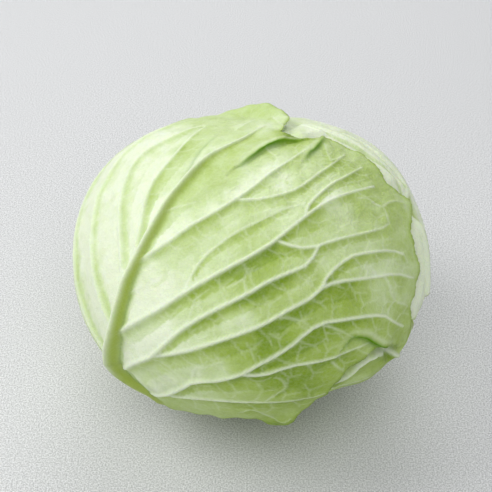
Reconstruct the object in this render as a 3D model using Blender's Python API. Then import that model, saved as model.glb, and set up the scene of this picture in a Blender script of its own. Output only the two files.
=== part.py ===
"""A head of green cabbage, standing on its cut stem.

The head is a flattened ball. Four outer leaves are wrapped round a dense heart, one over
the next, and their thick ribs run down under the head to the stem. Lengths are in
millimetres and are turned into metres when the meshes are made. Bearings are degrees round
the head from the front (-Y) towards the right (+X), and elevations are degrees up from its
widest ring.
"""
import math

import bpy
import numpy as np
from mathutils import Vector
from mathutils.geometry import delaunay_2d_cdt

MM = 0.001

# Head
HEAD_RADIUS = 98.2
HEAD_HALF_HEIGHT = 76.0
HEAD_CENTRE_HEIGHT = 82.5
DRAWING_RADIUS = 90.0

# Leaves, each layer lying this far below the outermost one
LEAF_THICKNESS = 0.9
LAYER_DEPTH = {"front": 0.0, "right": 2.3, "back": 4.6, "low": 6.9, "heart": 9.2}
COVERED_RIB_SHARE = 0.12
SKIRT_WIDTH = 10.0
MESH_SPACING = {"front": 7.4, "right": 9.0, "back": 13.0, "low": 13.0}
MARGIN_SPACING = 6.0
RIB_SPACING = 7.0
BANK_HEIGHT = 1.25
GENTLE_BANK = 8.0
STEEP_BANK = 3.4
STRONG_RIB_HEIGHT = 1.1
FLUTE_LIFT = 1.5
FLUTE_LENGTH = 34.0
HEM_WIDTH = 9.0

# Stem
STEM_FACE_RADIUS = 16.0
STEM_NECK_RADIUS = 17.5
STEM_CHAMFER = 1.2
STEM_SIDES = 40
LEAF_ROOT_RADIUS = 19.5
JOINT_GAP = 0.4

# Heart
HEART_RINGS = 18
HEART_SIDES = 36
HEART_FLAT_RADIUS = 22.0

# Dents and swellings of the whole head: bearing, elevation, radius, height
SWELLINGS = (
    (178.0, 46.0, 46.0, -4.5),
    (118.0, 22.0, 30.0, 2.6),
    (-110.0, 40.0, 30.0, 2.4),
    (38.0, -26.0, 26.0, -3.2),
    (-70.0, 6.0, 34.0, -0.8),
    (102.0, 16.0, 16.0, -1.0),
)

# Places where the front leaf's margin stands off the head: bearing, elevation, radius, height
MARGIN_LIFTS = (
    (174.0, 50.0, 15.5, 7.5),
    (150.0, 58.0, 10.0, 2.5),
    (12.0, -27.0, 12.0, 5.0),
    (-26.0, -25.0, 14.0, 2.4),
    (53.0, -6.0, 11.0, 1.4),
    (79.0, 19.0, 10.0, 1.6),
)

# Places where the lower leaf bulges out beside the front leaf
LOW_BULGES = (
    (54.0, -15.0, 14.0, 4.3),
    (43.0, -20.0, 12.0, 4.3),
    (63.0, -11.0, 11.0, 2.6),
)


def toward(bearing, elevation):
    """The unit direction at a bearing and an elevation."""
    b, e = math.radians(bearing), math.radians(elevation)
    return np.array([math.sin(b) * math.cos(e), -math.cos(b) * math.cos(e), math.sin(e)])


class Sheet:
    """A flat drawing in millimetres, wrapped on the head about one direction."""

    def __init__(self, bearing, elevation):
        self.middle = toward(bearing, elevation)
        self.right = toward(bearing + 90.0, 0.0)
        self.up = np.cross(self.middle, self.right)

    def wrap(self, points):
        points = np.atleast_2d(np.asarray(points, float))
        length = np.linalg.norm(points, axis=1)
        safe = np.maximum(length, 1e-9)
        across = points[:, :1] / safe[:, None] * self.right + points[:, 1:] / safe[:, None] * self.up
        turn = (length / DRAWING_RADIUS)[:, None]
        return self.middle * np.cos(turn) + across * np.sin(turn)

    def flatten(self, directions):
        directions = np.atleast_2d(directions)
        across = np.stack([directions @ self.right, directions @ self.up], 1)
        length = np.maximum(np.linalg.norm(across, axis=1), 1e-9)
        turn = np.arctan2(length, directions @ self.middle)
        return across / length[:, None] * (turn * DRAWING_RADIUS)[:, None]


VIEW = Sheet(0.0, 40.0)


def bump(directions, bearing, elevation, radius, height):
    """A soft round rise of the given radius and height."""
    turn = np.arccos(np.clip(directions @ toward(bearing, elevation), -1.0, 1.0))
    return height * np.exp(-(turn * DRAWING_RADIUS / radius) ** 2)


def skin(directions, rise):
    """Points on the head in these directions, raised along its normal."""
    flat = directions[:, 0] ** 2 + directions[:, 1] ** 2
    reach = 1.0 / np.sqrt(flat / HEAD_RADIUS ** 2 + directions[:, 2] ** 2 / HEAD_HALF_HEIGHT ** 2)
    for swelling in SWELLINGS:
        reach = reach + bump(directions, *swelling)
    points = directions * reach[:, None]
    normals = points / np.array([HEAD_RADIUS, HEAD_RADIUS, HEAD_HALF_HEIGHT]) ** 2
    normals = normals / np.linalg.norm(normals, axis=1)[:, None]
    return points + normals * np.asarray(rise)[:, None]


def curve_through(points, step, closed=False):
    """Evenly spaced points on a smooth curve through the given ones."""
    points = np.asarray(points, float)
    if closed:
        knots = np.concatenate([points[-1:], points, points[:2]])
    else:
        knots = np.concatenate([2 * points[:1] - points[1:2], points, 2 * points[-1:] - points[-2:-1]])
    t = np.linspace(0.0, 1.0, 12, endpoint=False)[:, None]
    runs = []
    for a, b, c, d in zip(knots, knots[1:], knots[2:], knots[3:]):
        runs.append(0.5 * (2 * b + (c - a) * t + (2 * a - 5 * b + 4 * c - d) * t ** 2
                           + (3 * b - a - 3 * c + d) * t ** 3))
    line = np.concatenate(runs + [knots[-2:-1]])
    length = np.concatenate([[0.0], np.cumsum(np.linalg.norm(np.diff(line, axis=0), axis=1))])
    count = max(2, int(round(length[-1] / step)) + 1)
    stations = np.linspace(0.0, length[-1], count)
    even = np.stack([np.interp(stations, length, line[:, k]) for k in range(line.shape[1])], 1)
    return even[:-1] if closed else even


def nearest(directions, line):
    """Distance to a line on the head, how far along it the nearest point lies (0 to 1), and
    whether it is to the left of the line (1) or to its right (-1)."""
    a, b = line[:-1], line[1:]
    run = b - a
    length = np.linalg.norm(run, axis=1)
    start = np.concatenate([[0.0], np.cumsum(length)])
    offset = directions[:, None, :] - a[None]
    share = np.clip((offset * run[None]).sum(2) / np.maximum(length ** 2, 1e-12), 0.0, 1.0)
    gap = np.linalg.norm(offset - share[..., None] * run[None], axis=2)
    best = gap.argmin(1)
    rows = np.arange(len(directions))
    along = (start[best] + share[rows, best] * length[best]) / start[-1]
    left = np.cross(a, run)
    side = np.sign((offset[rows, best] * left[best]).sum(1))
    return gap[rows, best] * DRAWING_RADIUS, along, side


def inside(points, loop):
    """Which flat points lie inside a closed outline."""
    x, y = points[:, 0], points[:, 1]
    result = np.zeros(len(points), bool)
    for (x0, y0), (x1, y1) in zip(loop, np.roll(loop, -1, axis=0)):
        crosses = (y0 > y) != (y1 > y)
        at = x0 + (y - y0) * (x1 - x0) / (y1 - y0 if y1 != y0 else 1e-9)
        result ^= crosses & (x < at)
    return result


def smooth_step(value, low, high):
    t = np.clip((value - low) / (high - low), 0.0, 1.0)
    return t * t * (3.0 - 2.0 * t)


def at_stations(along, values):
    """Values given at even stations from 0 to 1, read in between."""
    return np.interp(along, np.linspace(0.0, 1.0, len(values)), values)


class Rib:
    """A vein that stands out of a blade, thick at its start and thin at its end.

    The blade banks up to it gently on its left and steeply on its right."""

    def __init__(self, sheet, points, half_widths, heights, drawing=None):
        flat = points if drawing is None else sheet.flatten(drawing.wrap(points))
        self.flat = curve_through(flat, RIB_SPACING)
        self.line = sheet.wrap(self.flat)
        self.half_widths = half_widths
        self.heights = heights

    def relief(self, directions):
        """Height of the vein itself and of the bank that it lies on."""
        distance, along, side = nearest(directions, self.line)
        half_width = at_stations(along, self.half_widths)
        height = at_stations(along, self.heights) * smooth_step(along, -0.03, 0.06)
        across = np.clip(distance / half_width, 0.0, 1.0)
        reach = np.where(side > 0, GENTLE_BANK, STEEP_BANK)
        strength = np.clip(height / STRONG_RIB_HEIGHT, 0.0, 1.0)
        bank = BANK_HEIGHT * strength * np.exp(-(distance / reach) ** 2)
        return height * np.cos(across * math.pi / 2) ** 1.5, bank

    def rows(self, sheet):
        """Points along the ridge and along both its feet."""
        forward = np.gradient(self.line, axis=0)
        side = np.cross(self.line, forward)
        side = side / np.linalg.norm(side, axis=1)[:, None]
        along = np.linspace(0.0, 1.0, len(self.line))
        half_width = at_stations(along, self.half_widths)[:, None] / DRAWING_RADIUS
        shares = (1.0, -1.0) if max(self.half_widths) < 6.0 else (0.5, -0.5, 1.0, -1.0)
        feet = [sheet.flatten(self.line + side * half_width * share) for share in shares]
        return [self.flat] + feet


class Fold:
    """A pleat: the blade to the left of a line stands up over the blade to its right."""

    def __init__(self, sheet, points, height, fade, drawing):
        self.flat = curve_through(sheet.flatten(drawing.wrap(points)), RIB_SPACING)
        self.line = sheet.wrap(self.flat)
        self.top = height
        self.fade = fade

    def height(self, directions):
        distance, along, side = nearest(directions, self.line)
        swell = np.sin(math.pi * np.clip(0.12 + 0.76 * along, 0.0, 1.0))
        return self.top * swell * np.exp(-(distance / np.where(side > 0, self.fade, FOLD_LIP)) ** 2)

    def rows(self, sheet):
        forward = np.gradient(self.line, axis=0)
        left = np.cross(self.line, forward)
        left = left / np.linalg.norm(left, axis=1)[:, None]
        offsets = (0.0, -1.3 * FOLD_LIP, 0.5 * self.fade)
        return [sheet.flatten(self.line + left * offset / DRAWING_RADIUS) for offset in offsets]


class Leaf:
    """One wrapped leaf: its drawing, its outline, its ribs and the layer that it lies in."""

    def __init__(self, name, sheet, blade, midrib, petiole, ribs, folds=(), lifts=(), bulges=(),
                 above=()):
        self.name = name
        self.sheet = sheet
        self.depth = LAYER_DEPTH[name]
        self.ribs = [midrib] + ribs
        self.folds = folds
        self.lifts = lifts
        self.bulges = bulges
        self.above = above
        sides = petiole_sides(midrib, petiole)
        corners = np.concatenate([sheet.flatten(sides[0]), blade, sheet.flatten(sides[1])[::-1]])
        self.outline = curve_through(corners, MARGIN_SPACING, closed=True)
        self.margin = sheet.wrap(np.concatenate([self.outline, self.outline[:1]]))

    def cover(self, directions):
        """How far inside the outline a direction lies, in millimetres, and how far along it."""
        distance, along, _ = nearest(directions, self.margin)
        sign = np.where(inside(self.sheet.flatten(directions), self.outline), 1.0, -1.0)
        return distance * sign, along

    def rise(self, directions):
        """Height of the blade's outer face, and of its inner face, over the head."""
        depth = np.full(len(directions), self.depth)
        bare = np.ones(len(directions))
        for other in self.above:
            under = smooth_step(other.cover(directions)[0], -SKIRT_WIDTH, -2.0)
            bare = bare * (1.0 - under)
        lift = min(self.depth, LAYER_DEPTH["back"]) * 0.8
        base = -depth + bare * lift
        within, along = self.cover(directions)
        hem = np.exp(-(np.maximum(within, 0.0) / HEM_WIDTH) ** 2)
        turns = round(self.margin_length() / FLUTE_LENGTH)
        wave = np.sin(2 * math.pi * turns * along) + 0.6 * np.sin(2 * math.pi * 2.6 * turns * along)
        flute = np.clip(0.5 + 0.4 * wave, 0.0, 1.2)
        base = base + hem * FLUTE_LIFT * flute * (bare if self.above else 1.0)
        for place in self.lifts:
            base = base + bump(directions, *place) * hem
        for place in self.bulges:
            base = base + bump(directions, *place) * bare
        for fold in self.folds:
            base = base + fold.height(directions)
        ridge, bank = np.zeros(len(directions)), np.zeros(len(directions))
        for rib in self.ribs:
            own_ridge, own_bank = rib.relief(directions)
            ridge = np.maximum(ridge, own_ridge)
            bank = np.maximum(bank, own_bank)
        share = COVERED_RIB_SHARE + (1.0 - COVERED_RIB_SHARE) * bare
        return base + (ridge + bank) * share, base - LEAF_THICKNESS

    def margin_length(self):
        return np.linalg.norm(np.diff(self.margin, axis=0), axis=1).sum() * DRAWING_RADIUS


def petiole_sides(midrib, petiole):
    """The two edges of the bare leaf stalk, from its root to where each half of the blade starts."""
    length, root_half_width, blade_half_width = petiole
    steps = np.linalg.norm(np.diff(midrib.line, axis=0), axis=1) * DRAWING_RADIUS
    reach = np.concatenate([[0.0], np.cumsum(steps)])
    forward = np.gradient(midrib.line, axis=0)
    side = np.cross(forward, midrib.line)
    side = side / np.linalg.norm(side, axis=1)[:, None]
    edges = []
    for sign in (1.0, -1.0):
        stations = np.linspace(0.0, length, 4)
        spot = np.stack([np.interp(stations, reach, midrib.line[:, k]) for k in range(3)], 1)
        out = np.stack([np.interp(stations, reach, side[:, k]) for k in range(3)], 1)
        half_width = np.interp(stations, (0.0, length), (root_half_width, blade_half_width))
        edge = spot + sign * out * half_width[:, None] / DRAWING_RADIUS
        edges.append(edge / np.linalg.norm(edge, axis=1)[:, None])
    return edges


def leaf_root(bearing):
    """The direction of a leaf's root, beside the stem under the head."""
    turn = math.degrees(math.atan2(LEAF_ROOT_RADIUS, HEAD_HALF_HEIGHT))
    return toward(bearing, turn - 90.0)


# Front leaf, drawn on the sheet that faces the viewer
MIDRIB_HALF_WIDTHS = (11.0, 9.5, 8.0, 6.4, 4.8, 3.8, 3.2, 2.6, 2.0, 1.5, 1.0)
MIDRIB_HEIGHTS = (3.5, 2.0, 0.8, 1.8, 6.4, 4.6, 3.5, 2.5, 1.7, 1.1, 0.6)
FRONT_MIDRIB = (
    (-56, -157), (-58, -131), (-59, -112), (-61, -98), (-66, -87), (-75, -81), (-81, -73),
    (-82, -64), (-79, -54), (-76, -46), (-72, -38), (-69, -29), (-66, -19), (-64, -11), (-60, -2),
    (-56, 9), (-52, 20), (-48, 32), (-41, 45), (-34, 57), (-26, 68), (-15, 77), (-3, 88),
    (10, 105),
)
FRONT_RIGHT_EDGE = (
    (-53, -94), (-43, -98), (-32, -101), (-18, -100), (-6, -98), (3, -100),
    (10, -105), (17, -107), (24, -101), (31, -94), (37, -85), (41, -77), (44, -70), (47, -64),
    (51, -59), (57, -56), (62, -53), (66, -49), (72, -47), (80, -49), (87, -53), (93, -57),
    (97, -50), (96, -40), (95, -30), (98, -22), (101, -14), (103, -7), (101, 1), (100, 9),
    (101, 17), (105, 26), (110, 33), (110, 39), (103, 45), (96, 49), (93, 56), (90, 63),
    (85, 72), (77, 80), (68, 86), (58, 92), (50, 88), (44, 86), (37, 87), (30, 91), (23, 94),
    (26, 101), (29, 110), (34, 118), (32, 126), (26, 136), (14, 143), (3, 149),
)
FRONT_BACK_EDGE = (
    (-169, 45), (-160, 40), (-151, 33), (-153, 20), (-147, 9), (-149, -3), (-141, -12),
    (-135, -23), (-122, -28), (-108, -38), (-92, -37), (-78, -42), (-62, -35),
)
FRONT_RIBS = (
    ((2.6, 1.0), (1.5, 0.5), ((-62, 2), (-61, 16), (-62, 32), (-61, 43), (-58, 53), (-52, 67),
                              (-45, 85), (-37, 106))),
    ((2.8, 1.0), (1.5, 0.5), ((-68, -10), (-70, 2), (-75, 17), (-79, 31), (-81, 49), (-79, 65),
                              (-71, 78), (-59, 89), (-46, 104), (-37, 110))),
    ((3.0, 1.0), (1.6, 0.5), ((-74, -38), (-84, -20), (-92, -3), (-98, 16), (-102, 37),
                              (-100, 54), (-96, 71), (-88, 89), (-80, 101), (-66, 116),
                              (-51, 129))),
    ((3.0, 1.0), (1.6, 0.5), ((-78, -64), (-95, -46), (-108, -22), (-118, 4), (-124, 32),
                              (-125, 60), (-119, 90), (-104, 118), (-94, 131), (-76, 146))),
    ((3.0, 1.0), (1.6, 0.5), ((-76, -87), (-102, -75), (-130, -43), (-147, -3), (-152, 42),
                              (-146, 87), (-128, 125))),
    ((3.0, 1.2), (1.6, 0.6), ((-69, -117), (-96, -111), (-133, -84), (-164, -42), (-183, 7),
                              (-187, 62))),
    ((2.8, 1.0), (1.4, 0.5), ((-64, -9), (-59, -3), (-51, 3), (-42, 9), (-32, 17), (-21, 24),
                              (-10, 32), (0, 40), (11, 51), (24, 62), (38, 74))),
    ((1.8, 0.9), (0.8, 0.4), ((-9, 33), (4, 33), (16, 36), (28, 41), (42, 52), (57, 64),
                              (67, 73))),
    ((3.2, 1.2), (1.8, 0.6), ((-73, -42), (-66, -37), (-54, -30), (-43, -24), (-29, -15),
                              (-15, -7), (0, 1), (10, 7), (19, 14), (28, 21), (39, 29),
                              (52, 36), (68, 42), (80, 46))),
    ((1.9, 0.8), (0.9, 0.4), ((30, 24), (33, 30), (40, 37), (51, 46), (63, 53), (77, 62))),
    ((1.5, 0.8), (0.6, 0.4), ((-32, -16), (-28, -6), (-23, 1), (-15, 8), (-5, 15), (7, 21),
                              (18, 27), (31, 31))),
    ((1.8, 0.9), (0.9, 0.4), ((13, 9), (21, 6), (30, 5), (40, 8), (51, 11), (64, 14), (76, 17),
                              (82, 20))),
    ((3.0, 1.8), (1.7, 1.0), ((-74, -64), (-64, -57), (-53, -51), (-48, -48), (-41, -41),
                              (-33, -34), (-22, -27), (-10, -21), (0, -16), (9, -11), (19, -7),
                              (27, -4), (32, 1), (35, 6))),
    ((2.8, 1.1), (1.5, 0.6), ((-49, -49), (-38, -46), (-28, -43), (-14, -38), (0, -33),
                              (9, -29), (18, -24), (27, -20), (34, -15), (38, -9), (44, -4),
                              (53, 1), (65, 3), (79, 4), (88, 2))),
    ((2.0, 1.0), (1.0, 0.5), ((33, -15), (42, -12), (52, -11), (66, -10), (80, -9),
                              (96, -12))),
    ((3.0, 1.1), (1.6, 0.6), ((-58, -78), (-52, -77), (-46, -75), (-37, -68), (-28, -61),
                              (-17, -59), (-5, -55), (3, -50), (12, -45), (20, -40),
                              (26, -35), (34, -31), (43, -30), (56, -29), (69, -30),
                              (78, -35), (87, -39))),
    ((2.2, 0.9), (1.1, 0.4), ((-5, -55), (7, -55), (19, -51), (33, -50), (47, -47),
                              (61, -44))),
    ((2.2, 0.9), (1.1, 0.4), ((-47, -76), (-33, -74), (-19, -73), (3, -74), (17, -75),
                              (32, -75), (40, -73))),
)

# Pleats of the front leaf: height, fade on the high side, points
FRONT_FOLDS = (
    (3.0, 11.0, ((-7, 60), (0, 67), (6, 73), (13, 78), (21, 82), (28, 84), (36, 85))),
    (1.8, 7.0, ((36, 66), (40, 72), (45, 77), (54, 88))),
    (2.6, 10.0, ((46, -43), (48, -40), (51, -38), (58, -39), (63, -42), (70, -46), (79, -49))),
    (2.4, 7.0, ((-71, -64), (-66, -66), (-62, -69), (-59, -73), (-57, -78), (-59, -85))),
)
FOLD_LIP = 1.4

# Right leaf: its midrib on the viewer's sheet, its outline about its own middle
RIGHT_MIDRIB_HALF_WIDTHS = (8.5, 6.5, 4.2, 3.2, 1.8, 1.0)
RIGHT_MIDRIB_HEIGHTS = (5.0, 4.6, 3.4, 2.4, 1.2, 0.6)
RIGHT_MIDRIB = (
    (55, -187), (100, -150), (127, -106), (131, -63), (121, -33), (115, -14), (115, -1),
    (116, 10), (115, 19), (113, 28), (113, 38), (115, 48), (114, 58), (110, 70), (103, 82),
    (93, 95), (80, 106),
)
RIGHT_EDGE = (
    (13, -118), (38, -106), (52, -101), (68, -88), (88, -72), (96, -58), (112, -32),
    (117, -12), (122, 8), (118, 28), (123, 42), (114, 58), (112, 74), (94, 88), (84, 100),
    (56, 106), (38, 114), (14, 113), (-16, 120), (-46, 112), (-70, 92), (-84, 62), (-84, 28),
    (-70, -4), (-57, -20), (-47, -33), (-38, -34), (-33, -30), (-22, -33), (-20, -48),
    (-30, -70), (-38, -100),
)

# Ribs of the right leaf that run along the head's edge
RIGHT_RIBS = (
    ((110, 40), (107, 48), (103, 56), (98, 64), (92, 71), (84, 80), (76, 87), (68, 92),
     (60, 99), (52, 107), (44, 115)),
    ((114, 44), (111, 52), (107, 60), (101, 69), (92, 79), (83, 90), (74, 99), (60, 108),
     (46, 116)),
)

# Lower front leaf, of which a strip shows under the front leaf's margin
LOW_RIBS = (
    ((2.0, 2.8, 2.6, 1.0), (0.9, 1.5, 1.4, 0.4), ((40, -85), (50, -74), (55, -69), (60, -64),
                                                  (66, -60), (73, -57), (83, -60), (94, -63),
                                                  (106, -70), (114, -82))),
    ((1.5, 0.8), (0.7, 0.4), ((40, -84), (51, -79), (61, -81), (68, -80), (76, -77))),
)


def round_edge(half_width, bottom, top):
    """A broad leaf's outline from the right of its stalk over the top to the left."""
    edge = []
    for turn in np.radians(np.linspace(-78.0, 258.0, 29)):
        height = top if math.sin(turn) > 0 else -bottom
        wave = 1.0 + 0.035 * math.sin(7.0 * turn) + 0.02 * math.sin(12.0 * turn + 1.0)
        edge.append((wave * half_width * math.cos(turn), wave * height * math.sin(turn)))
    return edge


def side_ribs(sheet, midrib, reach, count, sides=(-1.0, 1.0)):
    """Side ribs that leave the midrib low down and curve up towards the margin."""
    stem = sheet.flatten(midrib.line)
    ahead = stem[-1] - stem[0]
    ahead = ahead / np.linalg.norm(ahead)
    across = np.array([ahead[1], -ahead[0]])
    ribs = []
    for index in range(count):
        share = index / (count - 1)
        place = (0.24 + 0.52 * share) * (len(stem) - 1)
        start = stem[int(place)]
        span = reach * (1.0 - 0.35 * share)
        thick = 3.0 - 1.4 * share
        for side in sides:
            sway = 4.0 * math.sin(2.3 * index + side)
            steps = ((0.0, 0.0), (0.3 * span, 12.0 + sway), (0.65 * span, 34.0 + sway), (span, 66.0))
            points = [start + side * out * across + along * ahead for out, along in steps]
            ribs.append(Rib(sheet, points, (thick, 1.0), (0.5 * thick, 0.4)))
    return ribs


def plain_midrib(sheet, bearing, top, half_widths, heights):
    """A midrib that climbs from the leaf's root straight up the middle of its drawing."""
    root = sheet.flatten(leaf_root(bearing))[0]
    points = [root, (0.0, root[1] + 40.0), (0.0, root[1] + 90.0), (0.0, 0.0), (0.0, top)]
    return Rib(sheet, points, half_widths, heights)


def make_leaves():
    """The four outer leaves, the outermost first."""
    sheet = Sheet(-46.0, 25.0)
    root = VIEW.flatten(leaf_root(-38.0))[0]
    midrib = Rib(sheet, (tuple(root),) + FRONT_MIDRIB, MIDRIB_HALF_WIDTHS, MIDRIB_HEIGHTS,
                 VIEW)
    right = sheet.flatten(VIEW.wrap(FRONT_RIGHT_EDGE))
    back = sheet.flatten(np.array([toward(*place) for place in FRONT_BACK_EDGE]))
    ribs = [Rib(sheet, points, widths, heights, VIEW) for widths, heights, points in FRONT_RIBS]
    folds = [Fold(sheet, points, height, fade, VIEW) for height, fade, points in FRONT_FOLDS]
    front = Leaf("front", sheet, np.concatenate([right, back]), midrib, (78.0, 12.0, 9.0), ribs,
                 folds=folds, lifts=MARGIN_LIFTS)

    sheet = Sheet(90.0, 20.0)
    midrib = Rib(sheet, RIGHT_MIDRIB, RIGHT_MIDRIB_HALF_WIDTHS, RIGHT_MIDRIB_HEIGHTS, VIEW)
    ribs = side_ribs(sheet, midrib, 104.0, 6, sides=(1.0,))
    ribs += [Rib(sheet, points, (1.6, 1.9), (0.7, 0.9), VIEW) for points in RIGHT_RIBS]
    right = Leaf("right", sheet, np.array(RIGHT_EDGE, float), midrib, (44.0, 12.0, 9.5), ribs,
                 above=(front,))

    sheet = Sheet(-122.0, 15.0)
    midrib = plain_midrib(sheet, -122.0, 96.0, (8.5, 1.5), (5.0, 0.6))
    edge = round_edge(116.0, -112.0, 108.0)
    ribs = side_ribs(sheet, midrib, 100.0, 6)
    back = Leaf("back", sheet, np.array(edge), midrib, (48.0, 12.0, 10.0), ribs,
                above=(front, right))

    sheet = Sheet(16.0, 5.0)
    midrib = plain_midrib(sheet, 16.0, 80.0, (8.0, 1.5), (4.6, 0.6))
    edge = round_edge(104.0, -104.0, 90.0)
    ribs = [Rib(sheet, points, widths, heights, VIEW) for widths, heights, points in LOW_RIBS]
    low = Leaf("low", sheet, np.array(edge), midrib, (44.0, 12.0, 10.0), ribs,
               bulges=LOW_BULGES, above=(front, right, back))
    return [front, right, back, low]


def thin_out(groups, gaps):
    """Points of all groups, without those that crowd the ones before them."""
    cell = max(gaps)
    grid = {}
    kept = []
    for points, gap in zip(groups, gaps):
        for x, y in points:
            column, row = math.floor(x / cell), math.floor(y / cell)
            close = False
            for i in (column - 1, column, column + 1):
                for j in (row - 1, row, row + 1):
                    for a, b in grid.get((i, j), ()):
                        close = close or (a - x) ** 2 + (b - y) ** 2 < gap * gap
            if not close:
                grid.setdefault((column, row), []).append((x, y))
                kept.append((x, y))
    return kept


def honeycomb(low, high, spacing):
    """Points in staggered rows over a rectangle."""
    points = []
    row_height = spacing * math.sqrt(0.75)
    for row, y in enumerate(np.arange(low[1], high[1], row_height)):
        start = low[0] + (spacing / 2 if row % 2 else 0.0)
        points.extend((x, y) for x in np.arange(start, high[0], spacing))
    return np.array(points)


def triangulate(leaf):
    """Flat points and triangles that fill a leaf's outline, with rows along its ribs."""
    outline = leaf.outline
    spacing = MESH_SPACING[leaf.name]
    groups, gaps = [outline], [0.5]
    rows = [line.rows(leaf.sheet) for line in list(leaf.folds) + leaf.ribs]
    for line in [row[0] for row in rows] + [foot for row in rows for foot in row[1:]]:
        within = leaf.cover(leaf.sheet.wrap(line))[0]
        groups.append(line[within > 2.0])
        gaps.append(2.0)
    grid = honeycomb(outline.min(0), outline.max(0), spacing)
    within = leaf.cover(leaf.sheet.wrap(grid))[0]
    groups.append(grid[within > 0.45 * spacing])
    gaps.append(0.62 * spacing)
    points = thin_out(groups, gaps)
    count = len(outline)
    edges = [(i, (i + 1) % count) for i in range(count)]
    found = delaunay_2d_cdt([Vector(p) for p in points], edges, [], 1, 1e-4)
    return np.array([tuple(v) for v in found[0]]), [tuple(face) for face in found[2]]


def close_sheet(outer, inner, triangles):
    """Faces of a thin closed body: both sides of a sheet and the strip along its edge."""
    count = len(outer)
    faces = list(triangles)
    faces += [tuple(count + i for i in reversed(face)) for face in triangles]
    edges = {(face[k], face[(k + 1) % 3]) for face in triangles for k in range(3)}
    for a, b in edges:
        if (b, a) not in edges:
            faces.append((b, a, count + a))
            faces.append((b, count + a, count + b))
    return np.concatenate([outer, inner]), faces


def add_object(name, points, faces, material):
    """A mesh object of points in millimetres about the head's centre, shaded smooth."""
    mesh = bpy.data.meshes.new(name)
    lifted = (points + np.array([0.0, 0.0, HEAD_CENTRE_HEIGHT])) * MM
    mesh.from_pydata(lifted.tolist(), [], faces)
    mesh.materials.append(material)
    mesh.shade_smooth()
    mesh.set_sharp_from_angle(angle=math.radians(50.0))
    item = bpy.data.objects.new(name, mesh)
    bpy.context.scene.collection.objects.link(item)
    return item


def make_material(name, colour, roughness):
    material = bpy.data.materials.new(name)
    material.use_nodes = True
    shader = material.node_tree.nodes["Principled BSDF"]
    shader.inputs["Base Color"].default_value = (*colour, 1.0)
    shader.inputs["Roughness"].default_value = roughness
    shader.inputs["Metallic"].default_value = 0.0
    material.diffuse_color = (*colour, 1.0)
    return material


def add_leaf(leaf, name, material):
    flat, triangles = triangulate(leaf)
    directions = leaf.sheet.wrap(flat)
    outer_rise, inner_rise = leaf.rise(directions)
    points, faces = close_sheet(skin(directions, outer_rise), skin(directions, inner_rise), triangles)
    return add_object(name, points, faces, material)


def add_heart(material):
    """The dense inner head: a ball with shallow overlapping leaf edges and a flat foot."""
    turns = np.linspace(0.0, 2 * math.pi, HEART_SIDES, endpoint=False)
    directions = []
    for ring in range(1, HEART_RINGS):
        polar = math.pi * ring / HEART_RINGS
        for turn in turns:
            directions.append((math.sin(polar) * math.cos(turn), math.sin(polar) * math.sin(turn),
                               math.cos(polar)))
    directions = np.array([(0.0, 0.0, 1.0)] + directions + [(0.0, 0.0, -1.0)])
    points = skin(directions, np.full(len(directions), -LAYER_DEPTH["heart"]))
    foot = heart_foot()
    points[:, 2] = np.maximum(points[:, 2], foot)
    last = len(points) - 1
    faces = []
    for side in range(HEART_SIDES):
        after = (side + 1) % HEART_SIDES
        faces.append((0, 1 + side, 1 + after))
        for ring in range(HEART_RINGS - 2):
            top, low = 1 + ring * HEART_SIDES, 1 + (ring + 1) * HEART_SIDES
            faces.append((top + side, low + side, low + after, top + after))
        low = 1 + (HEART_RINGS - 2) * HEART_SIDES
        faces.append((last, low + after, low + side))
    return add_object("heart", points, faces, material)


def heart_foot():
    """Height of the heart's flat foot, about the head's centre."""
    half_height = HEAD_HALF_HEIGHT - LAYER_DEPTH["heart"]
    radius = HEAD_RADIUS - LAYER_DEPTH["heart"]
    return -half_height * math.sqrt(1.0 - (HEART_FLAT_RADIUS / radius) ** 2)


def add_stem(material):
    """The cut stump that the head stands on, with the heart seated on its top."""
    top = heart_foot() - JOINT_GAP
    bottom = -HEAD_CENTRE_HEIGHT
    profile = ((STEM_FACE_RADIUS - STEM_CHAMFER, bottom), (STEM_FACE_RADIUS, bottom + STEM_CHAMFER),
               (STEM_NECK_RADIUS, bottom + 0.45 * (top - bottom)), (STEM_NECK_RADIUS - 1.0, top))
    points = []
    for radius, height in profile:
        for turn in np.linspace(0.0, 2 * math.pi, STEM_SIDES, endpoint=False):
            points.append((radius * math.cos(turn), radius * math.sin(turn), height))
    faces = [tuple(reversed(range(STEM_SIDES)))]
    for ring in range(len(profile) - 1):
        low, high = ring * STEM_SIDES, (ring + 1) * STEM_SIDES
        for side in range(STEM_SIDES):
            after = (side + 1) % STEM_SIDES
            faces.append((low + side, low + after, high + after, high + side))
    start = (len(profile) - 1) * STEM_SIDES
    faces.append(tuple(range(start, start + STEM_SIDES)))
    return add_object("stem", np.array(points), faces, material)


def centre_on_origin(items):
    """Shift the whole head sideways so that its box is centred over the origin."""
    corners = np.array([tuple(v.co) for item in items for v in item.data.vertices])
    middle = (corners.min(0) + corners.max(0)) / 2
    for item in items:
        for vertex in item.data.vertices:
            vertex.co.x -= middle[0]
            vertex.co.y -= middle[1]


def main():
    for item in list(bpy.data.objects):
        bpy.data.objects.remove(item, do_unlink=True)
    outer = make_material("outer_leaf_green", (0.42, 0.60, 0.20), 0.45)
    inner = make_material("inner_leaf_green", (0.66, 0.76, 0.42), 0.45)
    cut = make_material("cut_stem", (0.80, 0.82, 0.62), 0.7)
    front, right, back, low = make_leaves()
    items = [
        add_leaf(front, "front_leaf", outer),
        add_leaf(right, "right_leaf", outer),
        add_leaf(back, "back_leaf", outer),
        add_leaf(low, "lower_leaf", inner),
        add_heart(inner),
        add_stem(cut),
    ]
    centre_on_origin(items)


main()
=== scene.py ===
import math

import bpy
import numpy as np
from mathutils import Matrix, Vector, kdtree
from mathutils.geometry import delaunay_2d_cdt


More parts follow.
